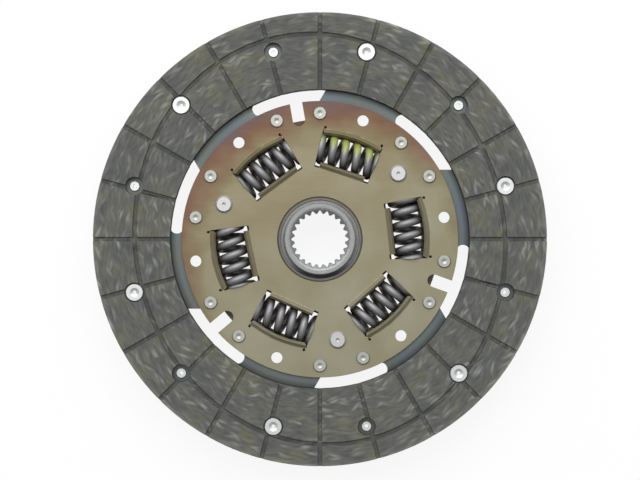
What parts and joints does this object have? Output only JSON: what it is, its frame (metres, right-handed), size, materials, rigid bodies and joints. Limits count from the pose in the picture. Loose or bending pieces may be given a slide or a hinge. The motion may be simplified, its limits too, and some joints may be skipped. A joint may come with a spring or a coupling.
{
  "type": "clutch disc",
  "caption": "Round clutch disc with grooved friction facings, wavy cushion segments, a spring damper that lets the disc twist on its hub, and a splined bore.",
  "frame": {"origin": "centre of the hub's lower end, on the bore axis, where the disc rests", "axes": "+Z along the bore axis towards the flywheel side, which is the side shown; +X and +Y are the right and the top of that face as pictured"},
  "size_m": [0.212, 0.212, 0.029],
  "materials": {
    "friction_facing": "moulded fibre composite, dark grey with pale fibre flecks",
    "plate_steel": "heat-treated sheet steel, olive tan with temper colours",
    "cushion_steel": "blued spring steel sheet",
    "rivet_steel": "bright plated steel",
    "hub_steel": "machined forged steel",
    "spring_steel": "shot-peened spring wire, dark oiled",
    "friction_washer": "moulded friction washer"
  },
  "bodies": {
    "hub": {"hub": "hub_steel"},
    "disc": {"front_plate": "plate_steel", "rear_plate": "plate_steel", "facing_front": "friction_facing", "facing_rear": "friction_facing", "front_friction_washer": "friction_washer", "rear_friction_washer": "friction_washer", "cone_spring": "cushion_steel", "facing_rivets_front": "rivet_steel", "facing_rivets_rear": "rivet_steel", "plate_rivets": "rivet_steel", "stop_pins": "rivet_steel", "cushion_segment_1": "cushion_steel", "cushion_segment_2": "cushion_steel", "cushion_segment_3": "cushion_steel", "cushion_segment_4": "cushion_steel", "cushion_segment_5": "cushion_steel", "cushion_segment_6": "cushion_steel"},
    "springs": {"damper_spring_1": "spring_steel", "damper_spring_2": "spring_steel", "damper_spring_3": "spring_steel", "damper_spring_4": "spring_steel", "damper_spring_5": "spring_steel", "damper_spring_6": "spring_steel"}
  },
  "joints": [
    {"name": "damper_twist", "type": "hinge", "parent": "hub", "child": "disc", "pos_m": [0, 0, 0.0199], "axis": [0, 0, 1], "range_deg": [-6, 6], "stiffness_Nm_per_rad": 60, "deforming": ["damper_spring_1", "damper_spring_2", "damper_spring_3", "damper_spring_4", "damper_spring_5", "damper_spring_6"]},
    {"name": "springs_follow", "type": "hinge", "parent": "hub", "child": "springs", "pos_m": [0, 0, 0.0199], "axis": [0, 0, 1], "range_deg": [-3, 3]}
  ],
  "couplings": [
    {"joint": "springs_follow", "follows": "damper_twist", "ratio": 0.5}
  ]
}
